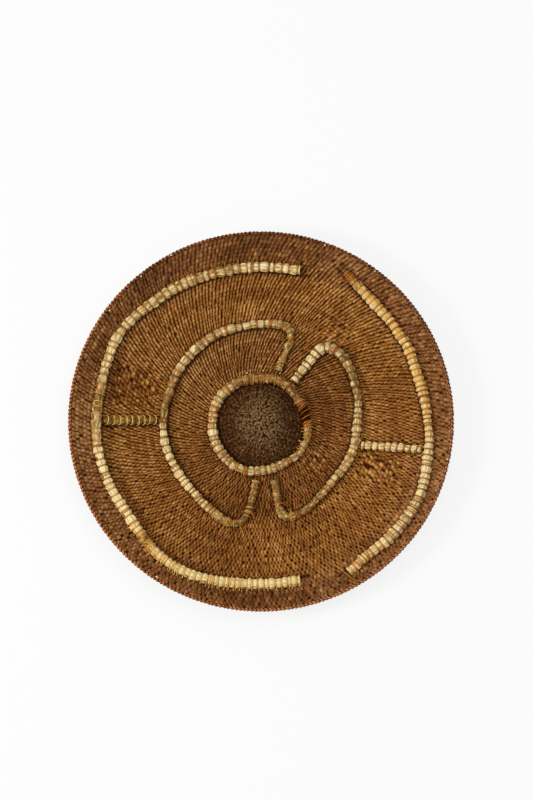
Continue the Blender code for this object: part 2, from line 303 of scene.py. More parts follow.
def dry_grass():
    """Dry grass stems: matt and dark, with fine lines along the row."""
    material, tree, shader, grain = new_material("dry grass", [("grain", "Vector")])
    lines = streaks(tree, grain, 2.5, 0.12, 3.0)
    ramp = add_node(tree, "ValToRGB", {0: lines}, ((0.3, "#241003"), (0.75, "#4a2810")))
    bump = add_node(tree, "Bump", {"Height": lines, "Strength": 0.6,
                                   "Distance": 0.3 * millimetre})
    feed(tree, shader, {"Base Color": ramp.outputs[0], "Roughness": 0.9,
                        "Specular IOR Level": 0.0, "Normal": bump.outputs[0]})
    return material


grass = dry_grass()
for name, inner, outer, slot in (("boss", 0.0, boss_edge, "boss_coil"),
                                 ("inner_field", boss_edge, inner_edge, "inner_coil"),
                                 ("outer_field", inner_edge, outer_edge, "outer_coil"),
                                 ("border", outer_edge, border_edge + grass_under_rim,
                                  "border_coil")):
    coil_body(name + "_foundation", inner, outer, grass)


# Stitches: narrow splints of brown cane bark that wrap each row and catch the one before. They
# run outwards as leaning cords on one side of the tray, and stand upright in staggered rows on
# the other. Some patches are sewn with wider splints. A painted shadow lines the inner side of
# the ribs.
stitch_lean, patch_lean, lean_spread = 0.46, 0.3, 0.10
corded_side, beaded_side = math.radians(100), math.radians(200)
# Radii, and how upright stitches stand there away from the corded side: over 1 they lean back
upright_shares = ((0.10, 0.20), (0.95, 1.25))
# How deep the ends of a stitch dive, and how unevenly it is raised
stitch_dive, stitch_raised = 0.0009, 0.00014
innermost_stitch = 0.0010
# Shares of its spacing between which a stitch is set, and how far it follows the row before
nearest, farthest, following = 0.6, 1.45, 0.8
tucked_under_rim = 0.0003
# How rough and how long stitches are: in the wide patches, in the boss and elsewhere
roughness = (1.6, 2.0, 1.0)
stitch_lengths = (1.08, 1.0, 1.18)
# Places along a stitch and across its splint, and how far the splint's sides curve down there
stitch_along = np.linspace(-1, 1, 6)[None, :, None]
splint_across = np.array([-1.14, -0.74, 0.0, 0.74, 1.14])[None, None, :]
splint_sink = np.array([-1.35, -0.42, 0.0, -0.42, -1.35]) * millimetre
# Half width, across the splint, of the painted highlight along the middle of each stitch's top
highlight_half = 0.74
# Radius and stitch spacing, in millimetres
stitch_sizes = np.array([(0, 2.2), (50, 2.4), (60, 3.05), (100, 3.2), (144, 3.3), (171, 3.6),
                         (190, 3.75), (214, 4.05), (230, 4.2)]) * millimetre
# From and to in degrees, from and to in radius, and how much wider the splints are
wide_patches = ((156, 172, 0.126, 0.184, 1.6), (44, 57, 0.126, 0.160, 1.1),
                (318, 333, 0.062, 0.094, 1.4), (332, 345, 0.124, 0.170, 1.6))
# Radius from which splints turn browner, the stretch over which they do, and its unevenness
boss_browning = (0.010, 0.030, 0.004)
border_browning = (0.180, 0.022, 0.006)
# Degrees round the tray and how much lighter the border is painted there: painted light and shade
border_painted_light = np.array([(0, 0), (30, 0.02), (60, 0.03), (90, -0.22), (120, -0.28), (150, -0.06),
                         (180, 0.12), (240, 0.14), (270, -0.28), (300, -0.12), (330, 0.18),
                         (360, 0)])
# How far from a rib the painted shadow reaches, how far outside its inner foot it is darkest,
# and how wide it is there, and then how much of it lies at the outer foot, and how wide
rib_shadow_reach, rib_shadow_offset, rib_shadow_width = 0.014, 0.0004, 0.0019
outer_rib_shadow, outer_rib_shadow_width = 0.45, 0.0016
station_gap = 0.0011
rib_width = 0.0114
# The ribs' routes, along which the painted shadow lies: degrees round the tray, radius as a
# share of the tray's, and size as a share of the usual
routes = {
    "centre_ring": [
        (13, 0.235, 0.85), (36, 0.226, 0.92), (57, 0.237, 0.97), (78, 0.236, 1.03),
        (110, 0.24, 1.05), (139, 0.249, 1.05), (165, 0.254, 0.92), (195, 0.254, 0.97),
        (222, 0.259, 1.05), (249, 0.263, 0.95), (271, 0.249, 0.95), (293, 0.242, 0.88),
        (323, 0.252, 0.75), (349, 0.246, 0.78)],
    "outer_left_arc": [
        (75.8, 0.828, 1), (86.7, 0.82, 1), (97.7, 0.82, 1.05), (108.8, 0.824, 1.03),
        (120.1, 0.835, 1.1), (132.6, 0.846, 1.05), (143, 0.863, 0.92), (150.5, 0.868, 0.95),
        (159.9, 0.858, 0.92), (168, 0.85, 0.96), (178.6, 0.855, 1), (190, 0.858, 0.87),
        (201.9, 0.852, 0.9), (212.8, 0.846, 1.02), (223.4, 0.859, 1), (233.5, 0.88, 0.86),
        (242, 0.884, 0.94), (251.2, 0.874, 1), (261.8, 0.857, 1.05), (272.3, 0.854, 1.03),
        (283.7, 0.859, 0.98)],
    "outer_right_arc": [
        (-60.1, 0.914, 0.85), (-51.7, 0.895, 1.05), (-43.5, 0.904, 1.1), (-35.4, 0.909, 1.08),
        (-26, 0.912, 1), (-15.2, 0.889, 0.95), (-5.2, 0.877, 0.88), (5.8, 0.859, 0.95),
        (15.7, 0.85, 1.02), (26.1, 0.856, 1), (36.8, 0.856, 1), (46.8, 0.858, 1.02),
        (55.7, 0.878, 0.88), (60.6, 0.899, 0.66)],
    "inner_left_arc": [
        (72.6, 0.29, 0.75), (71.6, 0.37, 0.7), (71, 0.44, 0.7), (71.6, 0.488, 0.72),
        (73.6, 0.516, 0.78), (77.6, 0.532, 0.88), (86.5, 0.531, 0.87), (99, 0.523, 0.8),
        (113.8, 0.525, 0.95), (129, 0.52, 1.02), (145, 0.513, 0.98), (160, 0.507, 0.82),
        (177.9, 0.508, 0.8), (194.5, 0.506, 0.8), (211.8, 0.5, 0.9), (225.6, 0.503, 0.88),
        (238, 0.519, 0.98), (247.5, 0.539, 0.97), (253.8, 0.544, 0.85), (258.2, 0.53, 0.74),
        (260.8, 0.495, 0.7), (262.4, 0.44, 0.7), (263.6, 0.37, 0.7), (265, 0.3, 0.75)],
    "inner_right_arc": [
        (-76.8, 0.305, 0.75), (-77.4, 0.37, 0.78), (-78, 0.43, 0.85), (-77.8, 0.472, 0.88),
        (-75.6, 0.501, 0.85), (-70.6, 0.513, 0.82), (-62, 0.507, 0.8), (-51, 0.487, 0.76),
        (-38.5, 0.478, 0.8), (-26, 0.489, 0.95), (-12, 0.497, 0.85), (0, 0.498, 0.88),
        (12.3, 0.518, 0.8), (23.6, 0.531, 0.85), (33, 0.546, 0.95), (41, 0.551, 0.98),
        (47.2, 0.54, 1), (50.8, 0.516, 1.05), (52.2, 0.475, 1.08), (52.3, 0.415, 1.05),
        (52.3, 0.35, 0.95), (52.6, 0.28, 0.8)],
    "left_spoke": [
        (179.4, 0.821, 1), (178.7, 0.68, 1), (178, 0.54, 0.9)],
    "right_spoke": [
        (347.8, 0.532, 0.9), (349.4, 0.69, 0.9), (350, 0.843, 0.85)],
}


def smooth(a, b, c, d, t):
    """Smooth curve from place b to place c, where a and d are the places beside them."""
    return 0.5 * (2 * b + (c - a) * t + (2 * a - 5 * b + 4 * c - d) * t ** 2
                  + (3 * b - a - 3 * c + d) * t ** 3)


def run_on(places):
    """A line of places with one more at each end, straight on."""
    return np.concatenate([2 * places[:1] - places[1:2], places, 2 * places[-1:] - places[-2:-1]])


def rib_line(route, closed):
    """Places along a rib at even steps: x, y, size share and distance gone."""
    corners = np.array([(share * tray_radius * math.cos(math.radians(angle)),
                         share * tray_radius * math.sin(math.radians(angle)), size)
                        for angle, share, size in route])
    if closed:
        corners = np.concatenate([corners[-1:], corners, corners[:2]])
    else:
        corners = run_on(corners)
    steps = (np.arange(24) / 24)[:, None]
    parts = [smooth(*four, steps)
             for four in zip(corners, corners[1:], corners[2:], corners[3:])]
    dense = np.concatenate(parts + [corners[-2:-1]])
    gone = np.concatenate([[0], np.cumsum(np.hypot(*np.diff(dense[:, :2], axis=0).T))])
    count = round(gone[-1] / station_gap) + 1
    even = np.linspace(0, gone[-1], count)
    return np.stack([np.interp(even, gone, dense[:, k]) for k in range(3)] + [even], -1)


class Rib:
    """A rib's line with its directions, which turns places on a section into points."""

    def __init__(self, route, closed):
        self.line = rib_line(route, closed)
        self.length = self.line[-1, 3]
        self.closed = closed
        ahead = np.gradient(self.line[:, :2], axis=0)
        if closed:
            ahead[0] = ahead[-1] = self.line[1, :2] - self.line[-2, :2]
        self.ahead = ahead / np.hypot(ahead[:, 0], ahead[:, 1])[:, None]

    def at(self, gone, values):
        return np.interp(gone % self.length if self.closed else gone, self.line[:, 3], values)

    def size(self, gone):
        return self.at(gone, self.line[:, 2])

    def point(self, gone, across, up):
        """Point at a distance along the rib, to its left, and up from the tray."""
        x, y = (self.at(gone, self.line[:, k]) for k in (0, 1))
        ahead_x, ahead_y = (self.at(gone, self.ahead[:, k]) for k in (0, 1))
        radius = np.hypot(x, y)
        slope = (upper(radius + slope_step) - upper(radius - slope_step)) / (2 * slope_step)
        level = 1 / np.sqrt(1 + slope ** 2)
        foot_x, foot_y = x - ahead_y * across, y + ahead_x * across
        height = upper(np.hypot(foot_x, foot_y)) + level * up
        back = slope * level * up
        return np.stack([foot_x - back * x / radius, foot_y - back * y / radius, height], -1)


ribs = {name: Rib(route, name == "centre_ring") for name, route in routes.items()}
stations = np.concatenate([np.hstack([rib.line[:, :3], rib.ahead]) for rib in ribs.values()])


def rib_shadow(spots, points):
    """How much painted shadow points near a rib get: most at its inner foot, and a little beyond
    its outer one. Spots are one place for each strip."""
    closest = [np.hypot(*(stations[:, :2] - spot).T).argmin() for spot in spots]
    x, y, size, ahead_x, ahead_y = stations[closest].T[:, :, None, None]
    across = (points[..., 1] - y) * ahead_x - (points[..., 0] - x) * ahead_y
    outward = np.sign(y * ahead_x - x * ahead_y)
    beside = across * np.where(outward == 0, 1, outward) + rib_width / 2 * size
    level = np.hypot(points[..., 0] - x, points[..., 1] - y) < rib_shadow_reach
    inner = np.exp(-((beside + rib_shadow_offset) / rib_shadow_width) ** 2)
    outer = np.exp(-((beside - rib_width * size) / outer_rib_shadow_width) ** 2)
    return level * (inner + outer_rib_shadow * outer)


def from_table(place, table, column):
    """Value of a table's column where its first column has a place."""
    return np.interp(place, table[:, 0], table[:, column])


def splint_share(radius, angle):
    """How much wider than usual the splints are at a place. The angle is in degrees."""
    return max([share for low, high, inner, outer, share in wide_patches
                if low <= angle <= high and inner <= radius <= outer], default=1.0)


def stitch_pitch(radius, angle):
    """Spacing of stitches along a row: finer in the boss and wider towards the rim."""
    return float(from_table(radius, stitch_sizes, 1)) * splint_share(radius, angle)


def sewn_turns(first, last):
    """Places of stitches along the spiral: each goes beside one of the row before, a little
    back, and an extra one is put in where the row has grown."""
    turns = [first]
    before = 0
    while turns[-1] < last:
        here = turns[-1]
        radius = here * row
        step = stitch_pitch(radius, here % 1 * 360) / (math.tau * radius)
        back = 1 - stitch_lean * step
        while before < len(turns) and turns[before] + back < here + nearest * step:
            before += 1
        ahead = here + step
        if before < len(turns):
            wanted = turns[before] + back
            if wanted < here + farthest * step:
                ahead += following * (wanted - ahead)
                before += 1
        turns.append(ahead)
    return np.array(turns)


def runs(count, dice, shortest, longest):
    """One random share for each run of stitches that a single splint makes."""
    shares = []
    while len(shares) < count:
        shares += [dice.random()] * int(dice.integers(shortest, longest))
    return np.array(shares[:count])


class Sewing:
    """The stitches of one length of coil: fine and uneven in the boss, broad and square in the
    wide patches, and slender elsewhere, corded at one side of the tray and beaded at another."""

    def __init__(self, turns, pitches):
        shape = (len(turns), 1, 1)
        self.pitch = pitches.reshape(shape)
        self.middle = turns.reshape(shape) * row
        self.angle = (turns.reshape(shape) % 1.0) * math.tau
        self.fine = self.middle < boss_edge
        self.golden = (self.middle > inner_edge) & (self.middle < outer_edge)
        self.border = self.middle > outer_edge
        wide = [splint_share(r, t % 1 * 360) > 1 for r, t in zip(self.middle.ravel(), turns)]
        self.wide = np.array(wide).reshape(shape)
        self.corded = 0.5 + 0.5 * np.cos(self.angle - corded_side)
        self.beaded = np.cos(self.angle - beaded_side).clip(0)

    def pick(self, for_wide, for_fine, for_others):
        return np.where(self.wide, for_wide, np.where(self.fine, for_fine, for_others))


def stitch_places(sewing, dice, surface):
    """Points of the stitches on one side of the tray, and their half width along them."""
    fine, corded, along = sewing.fine, sewing.corded, stitch_along

    def uneven(amount):
        """An amount times a random share of its own for each stitch."""
        return amount * dice.normal(size=sewing.middle.shape)

    rough = sewing.pick(*roughness)
    upright = np.interp(sewing.middle, *upright_shares) * (1 - corded)
    lean = np.where(sewing.wide, patch_lean, stitch_lean * (1 - upright)) + uneven(lean_spread)
    length = sewing.pick(*stitch_lengths) * (1 + uneven(0.05 * rough))
    lean = lean + uneven(np.where(fine, 0.75, 0.25 * (rough - 1)))
    bend = uneven(0.07 * rough)
    breadth = sewing.pick(0.48, 0.52, 0.36 + 0.06 * corded + 0.05 * sewing.border)
    breadth = breadth * (1 + uneven(0.05 * rough))
    raised = uneven(stitch_raised * rough)
    astray = 0.05 + 0.06 * (1 - corded) + 0.05 * sewing.border
    shift = uneven(np.where(fine, 0.35, astray * rough ** 1.6))
    ends = np.abs(along)
    radius = sewing.middle + along * row / 2 * length
    radius = np.minimum(radius, border_edge + tucked_under_rim)
    widening = sewing.pick(-0.03, -0.25, 0.32 - 0.40 * corded)
    width = sewing.pitch * breadth * (1 + widening * ends ** 1.6)
    sideways = sewing.pitch * (shift - lean / 2 * along + bend * (1 - ends ** 2))
    sideways = sideways + splint_across * width
    dive = stitch_dive * np.where(sewing.wide, 1.2, 1.0 + 0.2 * sewing.beaded) * ends ** 4
    lift = np.minimum(raised - dive + splint_sink, 0.0)
    return on_tray(radius, sewing.angle + sideways / radius, lift, surface), width


def stitch_tones(sewing, dice):
    """How light each point is, how yellow each splint is, and how far it has turned brown. A
    splint makes a run of stitches, which share a tone, and gets a painted highlight along its top."""
    shape = sewing.middle.shape
    count = shape[0]
    fine, border, corded = sewing.fine, sewing.border, sewing.corded
    mixed = dice.normal(size=shape)
    brown = [(sewing.middle - start + spread * mixed) / stretch
             for start, stretch, spread in (boss_browning, border_browning)]
    brown = np.where(fine, *brown).clip(0, 1)
    # The border gets painted light and shade round the tray from its table
    lighter = from_table(np.degrees(sewing.angle), border_painted_light, 1) * border
    lighter = lighter - 0.08 * (1 - corded) + 0.04 * sewing.beaded - 0.05 * sewing.golden
    right = np.cos(sewing.angle)
    lighter = lighter - (0.10 + 0.12 * right.clip(0)) * (sewing.middle < inner_edge)
    square = np.where(dice.random(shape) < 0.4 + 0.1 * (right > 0), -0.06, -0.44)
    square = square + 0.34 * (right > 0)
    bright = 0.35 * (dice.random(shape) < 0.06) * border
    shade = 0.12 + 0.46 * dice.random(count) + 0.30 * runs(count, dice, 8, 40)
    shade = np.where(fine, 0.16, 0) + np.where(fine, 0.55, 1) * shade.reshape(shape)
    shade = shade + lighter + square * sewing.wide + bright
    # Painted highlight along the middle of each stitch's top, lengthwise
    crest_highlight = (1 - np.abs(splint_across) / highlight_half).clip(0) * (1 - stitch_along ** 2)
    shade = shade + np.where(fine, 0, 0.42 - 0.2 * border - 0.14 * (1 - corded)) * crest_highlight
    shade = shade - np.where(fine, 0, 0.06)
    hue = 0.7 * dice.random(count) + 0.3 * runs(count, dice, 15, 60)
    return np.stack(np.broadcast_arrays(shade, hue.reshape(shape), brown), -1)


def stitch_shade_and_dirt(sewing):
    """How dark the stitches are painted at their sides and at their ends, where they dive: painted
    shade and grime in the grooves between them.
    """
    fine, wide, corded, beaded = sewing.fine, sewing.wide, sewing.corded, sewing.beaded
    ends = np.abs(stitch_along)
    sides = 1.0 - 0.27 * (1 - corded) - 0.22 * sewing.border - 0.12 * sewing.golden * (1 - beaded)
    crowded = np.where(wide | fine, 0, 0.8 * (1 - corded)) * ends ** 2
    sides = sewing.pick(0.7, 0.13, sides) * (1 - crowded)
    dives = 0.20 + 0.35 * beaded - 0.14 * sewing.golden + 0.12 * sewing.border
    sunk = 0.44 * (np.abs(splint_across) > 0.5) + 0.54 * (np.abs(splint_across) > 1)
    return sides * sunk + sewing.pick(0.30, 0.06, dives) * ends ** 4


def stitched(name, turns, pitches, surface, slot, material, seed):
    """The stitches of one length of coil, on one side of the tray."""
    dice = np.random.default_rng(seed)
    sewing = Sewing(turns, pitches)
    points, width = stitch_places(sewing, dice, surface)
    tone = stitch_tones(sewing, dice)
    own = dice.random(len(turns)).reshape(sewing.middle.shape) * 60
    grain = np.stack(np.broadcast_arrays(splint_across * width / millimetre,
                                         stitch_along * row / 2 / millimetre, own), -1)
    sunk = stitch_shade_and_dirt(sewing)
    # Beside the ribs the stitches on the upper side also get a painted shadow
    if surface is upper:
        sunk = sunk + rib_shadow(points[:, 3, 2, :2], points)
    return strips(name, points, {"tone": tone, "grain": grain, "sunk": sunk.clip(0, 1)},
                  material, flip=surface is upper)


def cane_splint(name, near_colours, far_colours, hollow, speckle):
    """Split cane bark: matt, faintly lined along its length, darkened by painted shade and grime
    where it dives between its neighbours. Each splint has its own shade, a little pinker or
    yellower than the next one."""
    material, tree, shader, tone, sunk, grain = new_material(
        name, [("tone", "Vector"), ("sunk", "Fac"), ("grain", "Vector")])
    tone = add_node(tree, "SeparateXYZ", {0: tone}).outputs
    lines = streaks(tree, grain, 1.6, 0.45, 2.0)
    place = add_node(tree, "TexCoord").outputs["Object"]
    total = add_node(tree, "Math", {0: tone[0], 1: 0.42, 2: -0.5 * speckle},
                     operation="MULTIPLY_ADD").outputs[0]
    total = add_node(tree, "Math", {0: lines, 1: 0.56, 2: total},
                     operation="MULTIPLY_ADD").outputs[0]
    for wide, detail, weight in ((20, 2.0, 0.20), (75, 1.0, 0.34), (1.9, 1.0, speckle)):
        spots = add_node(tree, "TexNoise", {"Vector": place, "Scale": 1 / (wide * millimetre),
                                            "Detail": detail}).outputs[0]
        total = add_node(tree, "Math", {0: spots, 1: weight, 2: total},
                         operation="MULTIPLY_ADD").outputs[0]
    near_shade, far_shade = (
        add_node(tree, "ValToRGB", {0: total}, tuple(zip((0.48, 0.77, 1.0), colours))).outputs[0]
        for colours in (near_colours, far_colours))
    # Painted shade and grime in the grooves between stitches, in the hollow colour
    groove_shade_and_dirt = add_node(tree, "Math", {0: sunk, 1: 0.9}, operation="MULTIPLY").outputs[0]
    cast = add_node(tree, "Mix", {"Factor": tone[1], "A": (1.0, 0.91, 0.90, 1.0),
                                  "B": (0.97, 1.02, 0.76, 1.0)}, data_type="RGBA")
    shade = near_shade
    for share, layer, way in ((tone[2], far_shade, "MIX"),
                              (1.0, cast.outputs["Result"], "MULTIPLY"),
                              (groove_shade_and_dirt, paint(hollow), "MIX")):
        shade = add_node(tree, "Mix", {"Factor": share, "A": shade, "B": layer},
                         data_type="RGBA", blend_type=way).outputs["Result"]
    bump = add_node(tree, "Bump", {"Height": lines, "Strength": 0.4,
                                   "Distance": 0.12 * millimetre})
    feed(tree, shader, {"Base Color": shade, "Roughness": 0.55, "Specular IOR Level": 0.06,
                        "Normal": bump.outputs[0]})
    return material


field_browns = ("#683a15", "#aa6e33", "#dfa662")
border_browns = ("#552f13", "#905d34", "#c68f60")
smoked_cane = cane_splint("smoked cane splint", ("#644a32", "#957650", "#c6a37a"),
                          ("#2f190d", "#5c3b20", "#9b764d"), "#1c0d04", 0.65)
brown_cane = cane_splint("brown cane splint", ("#623715", "#a06733", "#d59c5e"), border_browns,
                         "#2a1203", 0.3)
golden_cane = cane_splint("golden cane splint", field_browns, border_browns, "#2a1203", 0.3)
red_cane = cane_splint("reddish cane splint", field_browns, border_browns, "#2a1205", 0.4)
wrapping_cane = cane_splint("wrapping cane splint", field_browns,
                            ("#5a2d12", "#a05e34", "#d88c56"), "#2a1205", 0.3)

all_turns = sewn_turns(innermost_stitch / row, border_edge / row + 0.4)
all_radii = all_turns * row
gaps = np.gradient(all_turns) * math.tau * all_radii
for name, inner, outer, node, slot, material in (
        ("boss", 0.0, boss_edge, "centre_boss_coil", "boss_coil", smoked_cane),
        ("inner_field", boss_edge, inner_edge, "inner_field_coil", "inner_coil", brown_cane),
        ("outer_field", inner_edge, outer_edge, "outer_field_coil", "outer_coil", golden_cane),
        ("border", outer_edge, math.inf, "border_coil", "border_coil", red_cane)):
    chosen = (all_radii >= inner) & (all_radii < outer)
    sewn = all_turns[chosen], gaps[chosen]
    front = stitched(name + "_stitches", *sewn, upper, slot, material, 3)
    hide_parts(node)
    stitched(name + "_back_stitches", *sewn, under, slot, material, 5)


# Rim: the last, thicker row, wrapped closely all round by splints of reddish cane. Each wrap
# stands a little proud, which gives the edge its small scallops.
rim_wraps = 302
rim_middle = tray_radius - rim_width / 2
rim_centre = float(rise(rim_middle)) + wall / 2
rim_grass_depth = 0.0011
wrap_reach = math.radians(172)
wrap_across = np.array([-1.1, -0.7, 0.0, 0.7, 1.1])[None, None, :]
wrap_sink = np.array([-2.1, -0.7, 0.0, -0.7, -2.1]) * millimetre
wrap_pitch = math.tau * rim_middle / rim_wraps
# Shares of that spacing: half a wrap's width, how far it leans and how far it is out of place
wrap_width, wrap_lean, wrap_shift = 0.44, 0.30, 0.05
wrap_raised = 0.0001
# Degrees round the tray, how much painted light the wraps get there, and how much painted shade
# darkens their inner side
rim_light = np.array([(0, 0.1, 0.8), (60, -0.1, 1), (90, 0, 1), (120, 0.15, 0.8), (150, 0.35, 0.4),
                      (180, 0.5, 0.1), (210, 0.5, 0), (240, 0.25, 0), (270, 0.35, 0),
                      (300, 0.35, 0), (330, 0.4, 0.2), (360, 0.1, 0.8)])


def around_rim(angle, turn, lift):
    """Point on the rim's oval coil: angle goes round the tray, turn round the coil."""
    radius = rim_middle + (rim_width / 2 + lift) * np.cos(turn)
    height = rim_centre + (rim_height / 2 + lift) * np.sin(turn)
    return np.stack([radius * np.cos(angle), radius * np.sin(angle), height + 0 * radius], -1)


columns, sides = 240, 10
angle = (np.arange(columns + 1) * math.tau / columns)[None, :, None]
turn = (np.arange(sides) * math.tau / sides)[None, None, :]
angle, turn = np.broadcast_arrays(angle, turn)
body = around_rim(angle, turn, -rim_grass_depth)
# Its grain runs round the coil and round the tray, in millimetres
grain = np.stack([turn * 3, angle * 230, 0 * turn], -1)
strips("rim_foundation", body, {"grain": grain}, grass, closed=True, flip=True)

dice = np.random.default_rng(11)
shape = (rim_wraps, 1, 1)
along = np.linspace(wrap_reach, -wrap_reach, 15)[None, :, None]
width = wrap_pitch * wrap_width * (1 + 0.06 * dice.normal(size=shape))
lean = wrap_lean * wrap_pitch * (1 + 0.2 * dice.normal(size=shape)) * np.cos(along)
sideways = wrap_across * width + lean + wrap_shift * wrap_pitch * dice.normal(size=shape)
angle = (np.arange(rim_wraps).reshape(shape) / rim_wraps) * math.tau + sideways / rim_middle
lift = np.minimum(wrap_sink + wrap_raised * dice.normal(size=shape), 0)
points = around_rim(angle, along, lift)
grain = np.stack(np.broadcast_arrays(wrap_across * width / millimetre, along * 2.6,
                                     dice.random(shape) * 60), -1)
degrees = np.arange(rim_wraps) / rim_wraps * 360
shade = from_table(degrees, rim_light, 1) + 0.55 * dice.random(rim_wraps)
shade = shade + 0.35 * runs(rim_wraps, dice, 8, 30)
tone = np.stack([shade, 0.6 * dice.random(rim_wraps), np.ones(rim_wraps)], -1)
shaded = from_table(degrees, rim_light, 2).reshape(shape)
# Painted shade in the grooves between wraps, and more of it where the table darkens them
sunk = 0.3 * (np.abs(wrap_across) > 0.5) + 0.4 * (np.abs(wrap_across) > 1)
sunk = sunk + (0.55 + 0.3 * shaded) * ((np.cos(along) - 0.40 + 0.45 * shaded) / 0.6).clip(0, 1)
wraps = strips("rim_wrapping", points, {"tone": tone[:, None, None], "grain": grain,
                                        "sunk": sunk.clip(0, 1)}, wrapping_cane)
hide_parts("rim_coil")


# Ribs: a bundle of stems folded in pale dry husk and laid along its route on the finished tray,
# lashed down by a strand of cane skin that bites into the husk and is caught in the stitches.
rib_height, rib_lift = 0.0068, 0.0017
# Powers that make the section squarer than a half round: at its sides and at its top
arch_sides, arch_top = 0.80, 0.72
tie_bite, bite_reach = 0.17, 0.0015
strand_depth, strand_loose, strand_slant = 0.0010, 0.0005, 0.0008
crease_depth = 0.00045
# Share of a rib's length, how aged its husk is there, how orange it is dyed, how golden the
# strand is, the spacing of its turns, and how far they reach past the foot, in millimetres
states = {
    "centre_ring": [
        (0, 0.9, 0, 0.4, 5, 1.2), (0.08, 0.8, 0.1, 0.3, 6.2, 0.8), (0.15, 0.8, 0.1, 0.4, 6.2, 0.8),
        (0.28, 0.75, 0.1, 0.4, 6.4, 0.8), (0.36, 0.3, 0, 0.4, 6.8, 1.2),
        (0.53, -0.1, 0, 0.4, 7, 1.6), (0.58, 0.25, 0, 0.4, 7, 1.6),
        (0.78, 0.45, 0.1, 0.4, 6.8, 1.2), (0.94, 0.5, 0, 0.5, 6, 1.2),
        (0.97, 0.7, 0.4, 0.4, 5, 1.6)],
    "outer_left_arc": [
        (0, -0.6, 0.1, 0.4, 8.6, 3), (0.07, -0.2, 0, 0.4, 8.6, 3),
        (0.12, 0.35, 0.05, 0.4, 8.8, 3.2), (0.26, 0.25, 0.05, 0.4, 8.8, 3.2),
        (0.33, 0.15, 0, 0.4, 8.8, 2), (0.38, -0.1, 0, 0.4, 8.8, 1.5),
        (0.43, 0.4, 0.05, 0.4, 8.2, 1), (0.46, 0.8, 0.1, 0.9, 7.8, 0.8),
        (0.5, 0.5, 0.1, 0.9, 7.8, 0.8), (0.53, 0.2, 0, 0.5, 7.8, 0.8),
        (0.57, -1.3, 0, 0.5, 8, 1.2), (0.69, -2.6, 0, 0.6, 7.4, 1.6), (0.7, -1, 0.4, 0.9, 7, 2),
        (0.709, 0.7, 1.5, 1, 6.8, 2.8), (0.72, 0.7, 1.5, 1, 6.5, 3.2),
        (0.735, -0.4, 0.5, 1, 6.4, 2), (0.77, -1, 0.1, 1, 6.6, 2), (0.82, -2.4, 0.05, 1, 6.8, 2.6),
        (0.94, -3.2, 0.05, 1, 6.8, 2), (1, -1.2, 0.2, 0.8, 6.4, 2)],
    "outer_right_arc": [
        (0, -1.1, 0.35, 0.6, 6.4, 2.6), (0.08, -1.4, 0.15, 0.5, 7, 2),
        (0.13, -0.3, 0.1, 0.4, 7.4, 1.6), (0.17, -0.3, 0.05, 0.3, 7.4, 1.4),
        (0.23, -0.1, 0.05, 0.3, 7.4, 1.2), (0.28, -0.2, 0, 0.3, 7.4, 1.2),
        (0.38, -1.1, 0, 0.3, 7.4, 1.2), (0.47, -0.2, 0.2, 0.3, 7, 1), (0.55, -1, 0.5, 0.4, 7, 1),
        (0.68, -1.9, 0.65, 0.5, 7, 0.8), (0.78, -1.2, 0.7, 0.5, 7, 0.8),
        (0.9, -1, 0.6, 0.4, 7.6, 0.6), (0.945, -0.5, 0.8, 0.6, 7, 0.6),
        (0.955, 0.1, 1.1, 0.3, 7, 0.6), (1, 0.5, 1.3, 0.3, 7, 0.6)],
    "inner_left_arc": [
        (0, 0.6, 0, 0.6, 7, 1), (0.07, 0.6, 0, 0.6, 6, 0.8), (0.12, 0.5, 0, 0.5, 7, 0.8),
        (0.17, 0.3, 0, 0.3, 8.6, 0.6), (0.23, 0.3, 0, 0.3, 8.8, 0.8), (0.33, 0.3, 0, 0.3, 8.8, 1),
        (0.38, 0.1, 0, 0.3, 8.4, 0.8), (0.42, 0.2, 0, 0.3, 8.4, 0.6),
        (0.47, 0.7, 0.1, 0.4, 8.4, 0.6), (0.53, 0.8, 0.05, 0.3, 8.8, 0.8),
        (0.6, 0, 0, 0.2, 8.8, 0.8), (0.66, -0.6, 0, 0.2, 8.6, 0.6), (0.73, -1.4, 0, 0.4, 5.6, 0.6),
        (0.78, 0.1, 0, 0.4, 5.8, 0.8), (0.83, 0.4, 0, 0.4, 5.8, 0.8),
        (0.88, 0.9, 0, 0.5, 5.4, 0.8), (0.93, 1.4, 0, 0.6, 6.4, 0.6), (0.96, 0.7, 0, 0.6, 7, 0.6),
        (1, 0.4, 0.1, 0.5, 8, 0.6)],
    "inner_right_arc": [
        (0, 0.8, 0, 0.4, 8, 0.8), (0.05, 0.8, 0, 0.4, 7, 0.8), (0.1, 0.5, 0, 0.4, 6.6, 0.8),
        (0.23, 0.8, 0.1, 0.4, 6.6, 0.8), (0.32, 0.4, 0.05, 0.4, 7.4, 0.6),
        (0.45, 0.1, 0, 0.4, 7.4, 0.6), (0.57, 0.1, 0, 0.4, 7.4, 0.6),
        (0.64, 0.6, 0, 0.2, 8.2, 0.6), (0.8, 0.5, 0, 0.2, 8.4, 0.6),
        (0.88, -0.2, 0, 0.2, 8.6, 0.6), (1, -0.1, 0, 0.3, 8, 0.6)],
    "left_spoke": [
        (0, 0.6, 0.8, 1, 7, 1.3), (0.3, 0.3, 0.3, 1, 7, 1.3), (1, 0.5, 0.1, 1, 7, 1.3)],
    "right_spoke": [
        (0, 0, 0, 0.4, 8.2, 0.6), (0.3, -0.5, 0, 0.4, 8, 0.7), (1, 0, 0.1, 0.3, 7.6, 0.8)],
}
strand_breadths = {"centre_ring": 0.0013, "outer_left_arc": 0.00105, "outer_right_arc": 0.0012,
                   "inner_left_arc": 0.0012, "inner_right_arc": 0.0012, "left_spoke": 0.0011,
                   "right_spoke": 0.0013}
